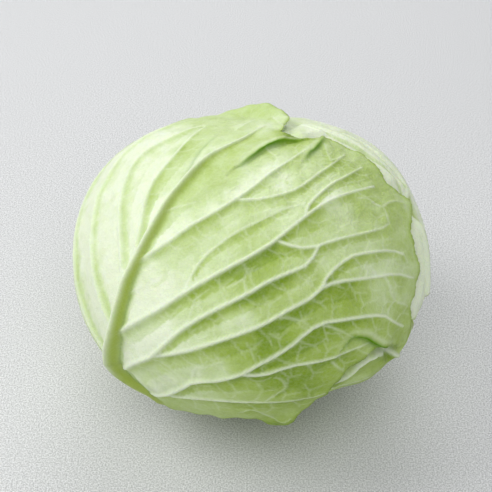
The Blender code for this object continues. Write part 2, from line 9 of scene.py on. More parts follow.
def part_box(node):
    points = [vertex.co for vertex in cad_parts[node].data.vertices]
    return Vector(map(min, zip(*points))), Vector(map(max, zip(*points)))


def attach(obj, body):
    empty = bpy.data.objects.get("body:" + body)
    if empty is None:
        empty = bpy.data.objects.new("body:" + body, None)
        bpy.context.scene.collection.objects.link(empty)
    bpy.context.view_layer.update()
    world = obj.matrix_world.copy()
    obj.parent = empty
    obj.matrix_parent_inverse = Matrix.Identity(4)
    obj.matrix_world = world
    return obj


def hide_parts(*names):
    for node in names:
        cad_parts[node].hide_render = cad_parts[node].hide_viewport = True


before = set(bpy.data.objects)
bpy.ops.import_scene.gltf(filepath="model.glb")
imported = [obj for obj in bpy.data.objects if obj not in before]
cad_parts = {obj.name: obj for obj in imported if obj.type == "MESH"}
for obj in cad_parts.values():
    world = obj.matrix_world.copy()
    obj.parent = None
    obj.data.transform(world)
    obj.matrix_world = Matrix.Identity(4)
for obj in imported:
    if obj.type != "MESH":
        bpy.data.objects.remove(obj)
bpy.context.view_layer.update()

# Lengths below are millimetres on the head and are turned into metres when meshes are made.
# Bearings are degrees round the head from the front (-Y) towards the right (+X), and
# elevations are degrees up from its widest ring.
MM = 0.001

# Head, as in the frame
HEAD_RADIUS = 98.2
HEAD_HALF_HEIGHT = 76.0
HEAD_CENTRE_HEIGHT = 82.5
DRAWING_RADIUS = 90.0
STEM_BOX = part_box("stem")
HEAD_CENTRE = np.array([(STEM_BOX[0].x + STEM_BOX[1].x) / 2 / MM,
                        (STEM_BOX[0].y + STEM_BOX[1].y) / 2 / MM, HEAD_CENTRE_HEIGHT])

# Leaves, each layer lying this far below the outermost one
LAYER_DEPTH = {"front": 0.0, "right": 2.3, "back": 4.6, "lower": 6.9, "heart": 9.2}
LEAF_THICKNESS = 0.9
MARGIN_THICKNESS = 0.45
MARGIN_TAPER = 6.0
COVERED_RIB_SHARE = 0.12
BARE_LIFT_SHARE = 0.8
SKIRT_WIDTH = 10.0
SKIRT_END = 2.0
FLUTE_LIFT = 1.5
FLUTE_LENGTH = 34.0
HEM_WIDTH = 9.0
LEAF_ROOT_RADIUS = 19.5
HEART_FLAT_RADIUS = 22.0

# Spacing of the points on drawn lines
MARGIN_SPACING = 6.0
RIB_SPACING = 7.0
VEIN_SPACING = 2.0

# Spacing of the points in the meshes
FINE_SPACING = 1.05
FINE_MARGIN_SPACING = 1.1
HIDDEN_SPACING = 4.0
INNER_SPACING = 5.0
HIDDEN_DISTANCE = 9.0

# Ribs and veins: the blade slopes up to them gently on one side and steeply on the other
RIB_SLIMNESS = 0.62
RIB_REACH = 26.0
VEIN_REACH = 8.0
STRONG_RIB_HEIGHT = 1.1
WHITE_RIB_HEIGHT = 0.75
BANK_HEIGHT = 1.25
GENTLE_BANK = 8.0
STEEP_BANK = 3.4
# Width of the painted light on the lit left side of a rib
PAINTED_LIGHT_WIDTH = 8.0
DRAWN_VEIN = ((0.9, 0.6), (0.34, 0.2))
BRANCH_VEIN = ((0.55, 0.35), (0.16, 0.1))

# Pleats: the pull of their high side over the low one is for a pleat of full height
FOLD_LIP = 1.4
FOLD_PULL = 1.4
FULL_FOLD_HEIGHT = 3.0
# Painted shade on a pleat's low side, and a painted highlight on the lip of its high side
DARK_FOLD_HEIGHT = 2.0
FOLD_SHADE_REACH = (0.8, 2.7)
LIP_DISTANCE = 2.4
INNER_FOLD_DEPTH = 1.1
INNER_FOLD_WIDTH = 6.0

# Cells of the net between the veins, and the blade's soft unevenness: height, cell, seed
NET_CELL = 8.5
FINE_NET_CELL = 3.6
NET_LINE_WIDTH = 0.9
FINE_NET_LINE_WIDTH = 0.55
PILLOWS = ((0.45, 14.0, 7), (0.40, 6.0, 8), (0.15, 2.8, 9))

# Small ripples of the margins, about this long: height, rate, phase
RIPPLE_LENGTH = 7.0
RIPPLES = ((0.30, 1.0, 0.0), (0.22, 1.9, 1.0), (0.35, 0.43, 2.0))

# Dents and swellings of the whole head: bearing, elevation, radius, height
SWELLINGS = (
    (178, 46, 46, -4.5),
    (118, 22, 30, 2.6),
    (-110, 40, 30, 2.4),
    (38, -26, 26, -3.2),
    (-70, 6, 34, -0.8),
    (102, 16, 16, -1),
)

# Places where the front leaf's margin stands off the head: bearing, elevation, radius, height
MARGIN_LIFTS = (
    (174, 50, 15.5, 7.5),
    (150, 58, 10, 2.5),
    (12, -27, 12, 5),
    (-26, -25, 14, 2.4),
    (53, -6, 11, 1.4),
    (79, 19, 10, 1.6),
)

# Places where the lower leaf bulges out beside the front leaf
LOW_BULGES = (
    (54, -15, 14, 4.3),
    (43, -20, 12, 4.3),
    (63, -11, 11, 2.6),
)

# Pigment of each leaf, from 0, nearly white, to 1, full green
MIDDLE_GREEN = {"front": 0.42, "right": 0.0, "back": 0.45, "lower": 0.58}
LEAST_GREEN = -0.05
HEART_GREEN = 0.12
INNER_FACE_GREEN = 0.45

# Leaf colours from nearly white to full green, at even steps of pigment
LEAF_RAMP = (
    (0.80, 0.88, 0.66),
    (0.60, 0.73, 0.38),
    (0.46, 0.60, 0.19),
    (0.33, 0.47, 0.06),
    (0.20, 0.325, 0.006),
)
# Deep green painted into pleats and creases as shade, partly the leaf's green
FOLD_SHADE_GREEN = (0.10, 0.26, 0.0)
WHITE = (0.80, 0.88, 0.68)
OLIVE = (0.35, 0.46, 0.05)

# Lights in metres and watts: bearing, elevation, distance, size, power, colour
LIGHTS = {
    "key": (-98.0, 42.0, 1.3, 0.8, 6.8, (1.0, 1.0, 0.98)),
    "back": (176.0, 38.0, 1.3, 0.8, 4.6, (1.0, 1.0, 1.0)),
    "front": (-2.0, 55.0, 1.4, 1.2, 7.4, (1.0, 1.0, 1.0)),
}
LIGHT_AIM_HEIGHT = 0.06
WORLD_STRENGTH = 0.45

# Camera, at the photograph's viewing angle
CAMERA_LENS = 85.0
CAMERA_SENSOR = 36.0
CAMERA_DISTANCE = 651.5
CAMERA_RIGHT = -2.3
CAMERA_UP = 6.1

# Front leaf, drawn on the sheet that faces the viewer
MIDRIB_HALF_WIDTHS = (11.0, 9.5, 8.0, 6.4, 4.8, 3.8, 3.2, 2.6, 2.0, 1.5, 1.0)
MIDRIB_HEIGHTS = (3.5, 2.0, 0.8, 1.8, 6.4, 4.6, 3.5, 2.5, 1.7, 1.1, 0.6)
FRONT_MIDRIB = (
    (-56, -157), (-58, -131), (-59, -112), (-61, -98), (-66, -87), (-75, -81), (-81, -73),
    (-82, -64), (-79, -54), (-76, -46), (-72, -38), (-69, -29), (-66, -19), (-64, -11), (-60, -2),
    (-56, 9), (-52, 20), (-48, 32), (-41, 45), (-34, 57), (-26, 68), (-15, 77), (-3, 88),
    (10, 105),
)

# Margin of the front leaf: its right on the same sheet, its back as bearings and elevations
FRONT_RIGHT_EDGE = (
    (-53, -94), (-43, -98), (-32, -101), (-18, -100), (-6, -98), (3, -100),
    (10, -105), (17, -107), (24, -101), (31, -94), (37, -85), (41, -77), (44, -70), (47, -64),
    (51, -59), (57, -56), (62, -53), (66, -49), (72, -47), (80, -49), (87, -53), (93, -57),
    (97, -50), (96, -40), (95, -30), (98, -22), (101, -14), (103, -7), (101, 1), (100, 9),
    (101, 17), (105, 26), (110, 33), (110, 39), (103, 45), (96, 49), (93, 56), (90, 63),
    (85, 72), (77, 80), (68, 86), (58, 92), (50, 88), (44, 86), (37, 87), (30, 91), (23, 94),
    (26, 101), (29, 110), (34, 118), (32, 126), (26, 136), (14, 143), (3, 149),
)
FRONT_BACK_EDGE = (
    (-169, 45), (-160, 40), (-151, 33), (-153, 20), (-147, 9), (-149, -3), (-141, -12),
    (-135, -23), (-122, -28), (-108, -38), (-92, -37), (-78, -42), (-62, -35),
)

# Ribs of the front leaf: half widths, heights and points
FRONT_RIBS = (
    ((2.6, 1.0), (1.5, 0.5),
     ((-62, 2), (-61, 16), (-62, 32), (-61, 43), (-58, 53), (-52, 67), (-45, 85), (-37, 106))),
    ((2.8, 1.0), (1.5, 0.5),
     ((-68, -10), (-70, 2), (-75, 17), (-79, 31), (-81, 49), (-79, 65), (-71, 78), (-59, 89),
      (-46, 104), (-37, 110))),
    ((3.0, 1.0), (1.6, 0.5),
     ((-74, -38), (-84, -20), (-92, -3), (-98, 16), (-102, 37), (-100, 54), (-96, 71), (-88, 89),
      (-80, 101), (-66, 116), (-51, 129))),
    ((3.0, 1.0), (1.6, 0.5),
     ((-78, -64), (-95, -46), (-108, -22), (-118, 4), (-124, 32), (-125, 60), (-119, 90),
      (-104, 118), (-94, 131), (-76, 146))),
    ((3.0, 1.0), (1.6, 0.5),
     ((-76, -87), (-102, -75), (-130, -43), (-147, -3), (-152, 42), (-146, 87), (-128, 125))),
    ((3.0, 1.2), (1.6, 0.6),
     ((-69, -117), (-96, -111), (-133, -84), (-164, -42), (-183, 7), (-187, 62))),
    ((2.8, 1.0), (1.4, 0.5),
     ((-64, -9), (-59, -3), (-51, 3), (-42, 9), (-32, 17), (-21, 24), (-10, 32), (0, 40),
      (11, 51), (24, 62), (38, 74))),
    ((1.8, 0.9), (0.8, 0.4), ((-9, 33), (4, 33), (16, 36), (28, 41), (42, 52), (57, 64), (67, 73))),
    ((3.2, 1.2), (1.8, 0.6),
     ((-73, -42), (-66, -37), (-54, -30), (-43, -24), (-29, -15), (-15, -7), (0, 1), (10, 7),
      (19, 14), (28, 21), (39, 29), (52, 36), (68, 42), (80, 46))),
    ((1.9, 0.8), (0.9, 0.4), ((30, 24), (33, 30), (40, 37), (51, 46), (63, 53), (77, 62))),
    ((1.5, 0.8), (0.6, 0.4),
     ((-32, -16), (-28, -6), (-23, 1), (-15, 8), (-5, 15), (7, 21), (18, 27), (31, 31))),
    ((1.8, 0.9), (0.9, 0.4),
     ((13, 9), (21, 6), (30, 5), (40, 8), (51, 11), (64, 14), (76, 17), (82, 20))),
    ((3.0, 1.8), (1.7, 1.0),
     ((-74, -64), (-64, -57), (-53, -51), (-48, -48), (-41, -41), (-33, -34), (-22, -27),
      (-10, -21), (0, -16), (9, -11), (19, -7), (27, -4), (32, 1), (35, 6))),
    ((2.8, 1.1), (1.5, 0.6),
     ((-49, -49), (-38, -46), (-28, -43), (-14, -38), (0, -33), (9, -29), (18, -24), (27, -20),
      (34, -15), (38, -9), (44, -4), (53, 1), (65, 3), (79, 4), (88, 2))),
    ((2.0, 1.0), (1.0, 0.5), ((33, -15), (42, -12), (52, -11), (66, -10), (80, -9), (96, -12))),
    ((3.0, 1.1), (1.6, 0.6),
     ((-58, -78), (-52, -77), (-46, -75), (-37, -68), (-28, -61), (-17, -59), (-5, -55), (3, -50),
      (12, -45), (20, -40), (26, -35), (34, -31), (43, -30), (56, -29), (69, -30), (78, -35),
      (87, -39))),
    ((2.2, 0.9), (1.1, 0.4), ((-5, -55), (7, -55), (19, -51), (33, -50), (47, -47), (61, -44))),
    ((2.2, 0.9), (1.1, 0.4),
     ((-47, -76), (-33, -74), (-19, -73), (3, -74), (17, -75), (32, -75), (40, -73))),
)

# Pleats of the front leaf: height, fade and points
FRONT_FOLDS = (
    (3.0, 11.0, ((-7, 60), (0, 67), (6, 73), (13, 78), (21, 82), (28, 84), (36, 85))),
    (1.8, 7.0, ((36, 66), (40, 72), (45, 77), (54, 88))),
    (2.6, 10.0, ((46, -43), (48, -40), (51, -38), (58, -39), (63, -42), (70, -46), (79, -49))),
    (2.4, 7.0, ((-71, -64), (-66, -66), (-62, -69), (-59, -73), (-57, -78), (-59, -85))),
)

# Thin veins of the front leaf that branch off its ribs
FRONT_VEINS = (
    ((82, 20), (82, 24), (82, 29), (81, 31)),
    ((81, 31), (76, 33), (72, 36), (65, 36)),
    ((81, 31), (88, 35), (96, 37), (103, 37)),
    ((88, 3), (90, 0), (91, -3)),
    ((70, -9), (73, -12), (75, -16), (76, -20), (79, -23), (82, -25), (87, -26), (91, -28)),
    ((79, -23), (76, -25), (73, -28), (72, -31)),
    ((59, -10), (61, -7), (60, -4), (62, -2)),
    ((9, -29), (12, -28), (17, -28), (21, -29), (25, -30), (29, -33)),
    ((34, -32), (38, -33), (43, -35), (47, -37), (51, -39)),
    ((-31, -65), (-29, -60), (-28, -55), (-26, -53), (-21, -52), (-17, -50), (-13, -49)),
    ((6, -75), (10, -71), (14, -68), (17, -65), (17, -62), (15, -59), (12, -58)),
    ((40, -51), (44, -55), (48, -58)),
    ((-2, -16), (-3, -12), (-3, -10), (-2, -7)),
    ((-3, -10), (-7, -12), (-11, -14)),
    ((-30, -32), (-29, -28), (-28, -24), (-27, -20), (-24, -18)),
    ((20, 38), (20, 43), (21, 49)),
    ((20, 125), (24, 112), (27, 99)),
    ((10, 76), (14, 70), (17, 66), (18, 59)),
    ((54, 83), (54, 76), (54, 65)),
    ((54, 65), (60, 68), (67, 73)),
    ((-12, 99), (-7, 106), (-2, 115), (4, 123)),
    ((-67, -22), (-64, -19), (-57, -15), (-52, -13), (-47, -12), (-44, -9), (-40, -6)),
    ((-49, 25), (-45, 28), (-37, 30), (-32, 32)),
    ((-6, -87), (0, -83), (4, -85), (9, -91), (14, -97), (19, -99), (24, -96)),
)

# Shallow creases of the front leaf, given as the pleats are
FRONT_CREASES = (
    (0.7, 5.0, ((-25, 88), (-30, 78), (-34, 69), (-38, 56), (-41, 49))),
)

# Right leaf: its midrib on the viewer's sheet, its outline about its own middle
RIGHT_MIDRIB_HALF_WIDTHS = (8.5, 6.5, 4.2, 3.2, 1.8, 1.0)
RIGHT_MIDRIB_HEIGHTS = (5.0, 4.6, 3.4, 2.4, 1.2, 0.6)
RIGHT_MIDRIB = (
    (55, -187), (100, -150), (127, -106), (131, -63), (121, -33), (115, -14), (115, -1),
    (116, 10), (115, 19), (113, 28), (113, 38), (115, 48), (114, 58), (110, 70), (103, 82),
    (93, 95), (80, 106),
)
RIGHT_EDGE = (
    (13, -118), (38, -106), (52, -101), (68, -88), (88, -72), (96, -58), (112, -32),
    (117, -12), (122, 8), (118, 28), (123, 42), (114, 58), (112, 74), (94, 88), (84, 100),
    (56, 106), (38, 114), (14, 113), (-16, 120), (-46, 112), (-70, 92), (-84, 62), (-84, 28),
    (-70, -4), (-57, -20), (-47, -33), (-38, -34), (-33, -30), (-22, -33), (-20, -48),
    (-30, -70), (-38, -100),
)

# Ribs of the right leaf that run along the head's edge
RIGHT_RIBS = (
    ((110, 40), (107, 48), (103, 56), (98, 64), (92, 71), (84, 80), (76, 87), (68, 92),
     (60, 99), (52, 107), (44, 115)),
    ((114, 44), (111, 52), (107, 60), (101, 69), (92, 79), (83, 90), (74, 99), (60, 108),
     (46, 116)),
)

# Lower front leaf, of which a strip shows under the front leaf's margin
LOW_RIBS = (
    ((2.0, 2.8, 2.6, 1.0), (0.9, 1.5, 1.4, 0.4),
     ((40, -85), (50, -74), (55, -69), (60, -64), (66, -60), (73, -57), (83, -60), (94, -63),
      (106, -70), (114, -82))),
    ((1.5, 0.8), (0.7, 0.4), ((40, -84), (51, -79), (61, -81), (68, -80), (76, -77))),
)

# Where the front leaf is greener or paler than its middle tone, partly pigment and partly painted light,
# paler over the lit left of the head: u, v, radius, amount
FRONT_PATCHES = (
    (-100, 20, 42, -0.6), (-80, -30, 30, -0.36), (-96, 70, 40, -0.4), (-60, 30, 26, -0.04),
    (-55, -45, 24, -0.2), (-50, -10, 22, -0.18), (-20, 60, 24, 0.05), (5, 30, 26, -0.12),
    (12, -4, 9, 0.3), (-2, -8, 10, 0.27), (10, -20, 14, 0.2), (22, -32, 15, 0.35),
    (0, -42, 13, 0.3), (12, -48, 13, 0.25), (44, -22, 13, 0.18), (58, -20, 12, 0.1),
    (60, -36, 14, 0.08), (84, -40, 12, 0.25), (20, -62, 24, 0.2), (-10, -66, 22, 0.08),
    (40, -45, 18, 0.2), (30, -80, 26, 0.18), (86, 30, 14, 0.06), (94, 4, 14, -0.06),
    (60, 30, 18, 0.12), (70, 65, 20, 0.1), (30, 86, 9, 0.55), (10, 110, 16, -0.26),
    (18, -108, 9, 0.65), (-20, 44, 12, 0.08), (-48, 74, 9, 0.22), (-54, 40, 8, 0.12),
    (6, 14, 13, 0.2), (33, 14, 9, 0.16), (22, 6, 8, 0.12), (34, 40, 8, 0.16),
    (-28, -24, 10, 0.14), (56, -26, 14, 0.14), (-42, 54, 12, 0.1), (-66, 52, 10, 0.08),
    (48, 30, 10, -0.42), (66, -15, 12, -0.36), (-3, -33, 9, -0.42), (-2, 48, 10, -0.1),
    (-125, 10, 26, -0.4), (18, 54, 11, -0.26), (8, -41, 6, 0.18), (-60, 86, 12, -0.12),
    (8, 38, 6, 0.12), (32, -10, 7, 0.16),
)


def toward(bearing, elevation):
    """The unit direction at a bearing and an elevation."""
    b, e = math.radians(bearing), math.radians(elevation)
    return np.array([math.sin(b) * math.cos(e), -math.cos(b) * math.cos(e), math.sin(e)])


def unit(vectors):
    """Rows of length 1."""
    return vectors / np.linalg.norm(vectors, axis=1)[:, None]


class Sheet:
    """A flat drawing in millimetres, wrapped on the head about one direction."""

    def __init__(self, bearing, elevation):
        self.middle = toward(bearing, elevation)
        self.right = toward(bearing + 90.0, 0.0)
        self.up = np.cross(self.middle, self.right)

    def wrap(self, points):
        """The directions that drawn points have on the head."""
        points = np.atleast_2d(np.asarray(points, float))
        length = np.linalg.norm(points, axis=1)
        safe = np.maximum(length, 1e-9)
        across = points[:, :1] / safe[:, None] * self.right + points[:, 1:] / safe[:, None] * self.up
        turn = (length / DRAWING_RADIUS)[:, None]
        return self.middle * np.cos(turn) + across * np.sin(turn)

    def flatten(self, directions):
        """Where directions lie on the drawing."""
        directions = np.atleast_2d(directions)
        across = np.stack([directions @ self.right, directions @ self.up], 1)
        length = np.maximum(np.linalg.norm(across, axis=1), 1e-9)
        turn = np.arctan2(length, directions @ self.middle)
        return across / length[:, None] * (turn * DRAWING_RADIUS)[:, None]


# The sheet that faces the viewer
VIEW = Sheet(0.0, 40.0)


def spot(directions, middle, radius, amount):
    """A soft round spot about a direction."""
    turn = np.arccos(np.clip(directions @ middle, -1.0, 1.0))
    return amount * np.exp(-(turn * DRAWING_RADIUS / radius) ** 2)


def bump(directions, bearing, elevation, radius, height):
    """A soft round rise of the given radius and height."""
    return spot(directions, toward(bearing, elevation), radius, height)


def skin(directions, rise):
    """Points on the head in these directions, raised along its normal."""
    flat = directions[:, 0] ** 2 + directions[:, 1] ** 2
    reach = 1.0 / np.sqrt(flat / HEAD_RADIUS ** 2 + directions[:, 2] ** 2 / HEAD_HALF_HEIGHT ** 2)
    for swelling in SWELLINGS:
        reach = reach + bump(directions, *swelling)
    points = directions * reach[:, None]
    normals = points / np.array([HEAD_RADIUS, HEAD_RADIUS, HEAD_HALF_HEIGHT]) ** 2
    return points + unit(normals) * np.asarray(rise)[:, None]


def lengths(line):
    """How far along a line each of its points lies."""
    return np.concatenate([[0.0], np.cumsum(np.linalg.norm(np.diff(line, axis=0), axis=1))])


def points_at(stations, reach, line):
    """The points of a line at stations along it, where reach holds its own points' stations."""
    return np.stack([np.interp(stations, reach, line[:, k]) for k in range(line.shape[1])], 1)


def rightward(line):
    """The direction to the right of a line on the head, at each of its points."""
    return unit(np.cross(np.gradient(line, axis=0), line))


def curve_through(points, step, closed=False):
    """Evenly spaced points on a smooth curve through the given ones."""
    points = np.asarray(points, float)
    if closed:
        knots = np.concatenate([points[-1:], points, points[:2]])
    else:
        knots = np.concatenate([2 * points[:1] - points[1:2], points, 2 * points[-1:] - points[-2:-1]])
    t = np.linspace(0.0, 1.0, 12, endpoint=False)[:, None]
    runs = []
    for a, b, c, d in zip(knots, knots[1:], knots[2:], knots[3:]):
        runs.append(0.5 * (2 * b + (c - a) * t + (2 * a - 5 * b + 4 * c - d) * t ** 2
                           + (3 * b - a - 3 * c + d) * t ** 3))
    line = np.concatenate(runs + [knots[-2:-1]])
    reach = lengths(line)
    count = max(2, int(round(reach[-1] / step)) + 1)
    even = points_at(np.linspace(0.0, reach[-1], count), reach, line)
    return even[:-1] if closed else even


def nearest(directions, line, block=4000):
    """Distance to a line on the head, how far along it the nearest point lies (0 to 1), and the side."""
    a, run = line[:-1], np.diff(line, axis=0)
    length = np.linalg.norm(run, axis=1)
    start = lengths(line)
    left = np.cross(a, run)
    gaps, alongs, sides = [], [], []
    for first in range(0, len(directions), block):
        part = directions[first:first + block]
        offset = part[:, None, :] - a[None]
        share = np.clip((offset * run[None]).sum(2) / np.maximum(length ** 2, 1e-12), 0.0, 1.0)
        gap = np.linalg.norm(offset - share[..., None] * run[None], axis=2)
        best = gap.argmin(1)
        rows = np.arange(len(part))
        gaps.append(gap[rows, best])
        alongs.append((start[best] + share[rows, best] * length[best]) / start[-1])
        sides.append(np.sign((offset[rows, best] * left[best]).sum(1)))
    return np.concatenate(gaps) * DRAWING_RADIUS, np.concatenate(alongs), np.concatenate(sides)


def inside(points, loop):
    """Which flat points lie inside a closed outline."""
    x, y = points[:, 0], points[:, 1]
    result = np.zeros(len(points), bool)
    for (x0, y0), (x1, y1) in zip(loop, np.roll(loop, -1, axis=0)):
        crosses = (y0 > y) != (y1 > y)
        at = x0 + (y - y0) * (x1 - x0) / (y1 - y0 if y1 != y0 else 1e-9)
        result ^= crosses & (x < at)
    return result


def smooth_step(value, low, high):
    """0 below the low value, 1 above the high one, and smooth in between."""
    t = np.clip((value - low) / (high - low), 0.0, 1.0)
    return t * t * (3.0 - 2.0 * t)


def at_stations(along, values):
    """Values given at even stations from 0 to 1, read in between."""
    return np.interp(along, np.linspace(0.0, 1.0, len(values)), values)


class Rib:
    """A vein that stands out of a blade, thick at its start and thin at its end.

    The blade slopes up to it gently on its left and steeply on its right."""

    def __init__(self, sheet, points, half_widths, heights, drawing=None, slim=RIB_SLIMNESS,
                 spacing=RIB_SPACING, reach=RIB_REACH):
        flat = points if drawing is None else sheet.flatten(drawing.wrap(points))
        self.line = sheet.wrap(curve_through(flat, spacing))
        self.reach = reach
        self.half_widths = half_widths
        self.heights = heights
        self.slim = slim
        self.middle = self.line.mean(0)
        self.span = np.linalg.norm(self.line - self.middle, axis=1).max() * DRAWING_RADIUS

    def relief(self, directions):
        """Height of the vein, height of the bank beside it, its whiteness, and a tone of painted shade
        on its right and painted light on its left, partly pigment.
        """
        ridge, bank, white, shade = (np.zeros(len(directions)) for _ in range(4))
        gap = np.linalg.norm(directions - self.middle, axis=1) * DRAWING_RADIUS
        close = np.nonzero(gap < self.span + self.reach)[0]
        if len(close) == 0:
            return ridge, bank, white, shade
        distance, along, side = nearest(directions[close], self.line)
        half_width = at_stations(along, self.half_widths) * self.slim
        height = at_stations(along, self.heights) * smooth_step(along, -0.03, 0.06)
        across = np.clip(distance / half_width, 0.0, 1.0)
        ridge[close] = height * np.cos(across * math.pi / 2) ** 1.4
        strong = np.clip(height / STRONG_RIB_HEIGHT, 0.0, 1.0)
        ends = smooth_step(along, -0.02, 0.06) * (1.0 - 0.7 * smooth_step(along, 0.8, 1.0))
        reach = np.where(side > 0, GENTLE_BANK, STEEP_BANK) * (0.45 + 0.55 * strong)
        bank[close] = BANK_HEIGHT * strong * ends * np.exp(-(distance / reach) ** 2)
        pale = 0.12 + 0.88 * np.clip(height / WHITE_RIB_HEIGHT, 0.0, 1.0)
        white[close] = pale * np.exp(-(distance / (0.55 * half_width + 0.25)) ** 3)
        # Painted shade just right of the rib and painted light on its left, partly pigment
        beyond = np.maximum(distance - half_width, 0.0)
        painted_shade_side = 0.6 * np.exp(-((beyond - 0.8) / 1.8) ** 2) + 0.5 * np.exp(-(beyond / 9.0) ** 2)
        painted_light_side = np.exp(-(beyond / PAINTED_LIGHT_WIDTH) ** 2)
        shade[close] = strong * ends * np.where(side > 0, -0.6 * painted_light_side, painted_shade_side)
        return ridge, bank, white, shade


class Fold:
    """A pleat: the blade to the left of a line stands up over the blade to its right."""

    def __init__(self, sheet, points, height, fade, drawing):
        self.line = sheet.wrap(curve_through(sheet.flatten(drawing.wrap(points)), VEIN_SPACING))
        self.top = height
        self.fade = fade

    def swell(self, along):
        """The share of its height that the pleat has along its line."""
        return np.sin(math.pi * np.clip(0.12 + 0.76 * along, 0.0, 1.0))

    def height(self, directions):
        """How far the pleat lifts the blade."""
        distance, along, side = nearest(directions, self.line)
        reach = np.where(side > 0, self.fade, FOLD_LIP)
        return self.top * self.swell(along) * np.exp(-(distance / reach) ** 2)


class Leaf:
    """One wrapped leaf: its drawing, its outline, its ribs and the layer that it lies in."""

    def __init__(self, name, sheet, blade, midrib, petiole, ribs, folds=(), lifts=(), bulges=(),
                 above=()):
        self.name = name
        self.sheet = sheet
        self.depth = LAYER_DEPTH[name]
        self.midrib = midrib
        self.ribs = [midrib] + ribs
        self.folds = folds
        self.lifts = lifts
        self.bulges = bulges
        self.above = above
        sides = petiole_sides(midrib, petiole)
        corners = np.concatenate([sheet.flatten(sides[0]), blade, sheet.flatten(sides[1])[::-1]])
        self.outline = curve_through(corners, MARGIN_SPACING, closed=True)
        self.margin = sheet.wrap(np.concatenate([self.outline, self.outline[:1]]))

    def cover(self, directions):
        """How far inside the outline a direction lies, in millimetres, and how far along it."""
        distance, along, _ = nearest(directions, self.margin)
        sign = np.where(inside(self.sheet.flatten(directions), self.outline), 1.0, -1.0)
        return distance * sign, along


def petiole_sides(midrib, petiole):
    """The two edges of the bare leaf stalk, from its root to where each half of the blade starts."""
    length, root_half_width, blade_half_width = petiole
    reach = lengths(midrib.line) * DRAWING_RADIUS
    stations = np.linspace(0.0, length, 4)
    middle = points_at(stations, reach, midrib.line)
    out = points_at(stations, reach, rightward(midrib.line))
    half_width = np.interp(stations, (0.0, length), (root_half_width, blade_half_width))
    return [unit(middle + sign * out * half_width[:, None] / DRAWING_RADIUS) for sign in (1.0, -1.0)]


def leaf_root(bearing):
    """The direction of a leaf's root, beside the stem under the head."""
    turn = math.degrees(math.atan2(LEAF_ROOT_RADIUS, HEAD_HALF_HEIGHT))
    return toward(bearing, turn - 90.0)


def round_edge(half_width, bottom, top):
    """A broad leaf's outline from the right of its stalk over the top to the left."""
    edge = []
    for turn in np.radians(np.linspace(-78.0, 258.0, 29)):
        height = top if math.sin(turn) > 0 else -bottom
        wave = 1.0 + 0.035 * math.sin(7.0 * turn) + 0.02 * math.sin(12.0 * turn + 1.0)
        edge.append((wave * half_width * math.cos(turn), wave * height * math.sin(turn)))
    return np.array(edge)


def side_ribs(sheet, midrib, reach, count, sides=(-1.0, 1.0)):
    """Side ribs that leave the midrib low down and curve up towards the margin."""
    stem = sheet.flatten(midrib.line)
    ahead = stem[-1] - stem[0]
    ahead = ahead / np.linalg.norm(ahead)
    across = np.array([ahead[1], -ahead[0]])
    ribs = []
    for index in range(count):
        share = index / (count - 1)
        place = (0.24 + 0.52 * share) * (len(stem) - 1)
        start = stem[int(place)]
        span = reach * (1.0 - 0.35 * share)
        thick = 3.0 - 1.4 * share
        for side in sides:
            sway = 4.0 * math.sin(2.3 * index + side)
            steps = ((0.0, 0.0), (0.3 * span, 12.0 + sway), (0.65 * span, 34.0 + sway), (span, 66.0))
            points = [start + side * out * across + along * ahead for out, along in steps]
            ribs.append(Rib(sheet, points, (thick, 1.0), (0.5 * thick, 0.4)))
    return ribs


def thin_vein(sheet, points, kind, drawing=None):
    """A vein too thin for the solids, of one of the two kinds."""
    return Rib(sheet, points, *kind, drawing, 1.0, VEIN_SPACING, VEIN_REACH)


def branch_veins(sheet, ribs, seed):
    """Thin veins that leave the ribs on both sides, bend forward and fork."""
    rng = np.random.default_rng(seed)
    veins = []
    for rib in ribs:
        flat = sheet.flatten(rib.line)
        reach = lengths(flat)
        side = 1.0
        place = rng.uniform(5.0, 12.0)
        while place < reach[-1] - 6.0:
            start, ahead = points_at((place, place + 4.0), reach, flat)
            ahead = (ahead - start) / np.linalg.norm(ahead - start)
            out = side * np.array([-ahead[1], ahead[0]])
            length = rng.uniform(5.0, 9.0)
            fork = start + length * out + rng.uniform(0.0, 0.8) * length * ahead
            tips = [fork + rng.uniform(5.0, 9.0) * (lean * ahead + share * out)
                    for lean, share in ((0.9, 0.25), (rng.uniform(-0.5, 0.3), 0.8))]
            for points in ((start, fork, tips[0]), (fork, tips[1])):
                veins.append(thin_vein(sheet, points, BRANCH_VEIN))
            side = -side
            place += rng.uniform(5.0, 9.0)
    return veins


def plain_midrib(sheet, bearing, top, half_widths, heights):
    """A midrib that climbs from the leaf's root straight up the middle of its drawing."""
    root = sheet.flatten(leaf_root(bearing))[0]
    points = [root, (0.0, root[1] + 40.0), (0.0, root[1] + 90.0), (0.0, 0.0), (0.0, top)]
    return Rib(sheet, points, half_widths, heights)


def front_leaf():
    """The outermost leaf, whose lines are drawn on the viewer's sheet."""
    sheet = Sheet(-46.0, 25.0)
    root = VIEW.flatten(leaf_root(-38.0))[0]
    midrib = Rib(sheet, (tuple(root),) + FRONT_MIDRIB, MIDRIB_HALF_WIDTHS, MIDRIB_HEIGHTS,
                 VIEW, slim=1.0)
    right = sheet.flatten(VIEW.wrap(FRONT_RIGHT_EDGE))
    back = sheet.flatten(np.array([toward(*place) for place in FRONT_BACK_EDGE]))
    ribs = [Rib(sheet, points, widths, heights, VIEW) for widths, heights, points in FRONT_RIBS]
    folds = [Fold(sheet, points, height, fade, VIEW)
             for height, fade, points in FRONT_FOLDS + FRONT_CREASES]
    veins = [thin_vein(sheet, points, DRAWN_VEIN, VIEW) for points in FRONT_VEINS]
    veins += branch_veins(sheet, ribs, 41)
    return Leaf("front", sheet, np.concatenate([right, back]), midrib, (78.0, 12.0, 9.0),
                ribs + veins, folds=folds, lifts=MARGIN_LIFTS)


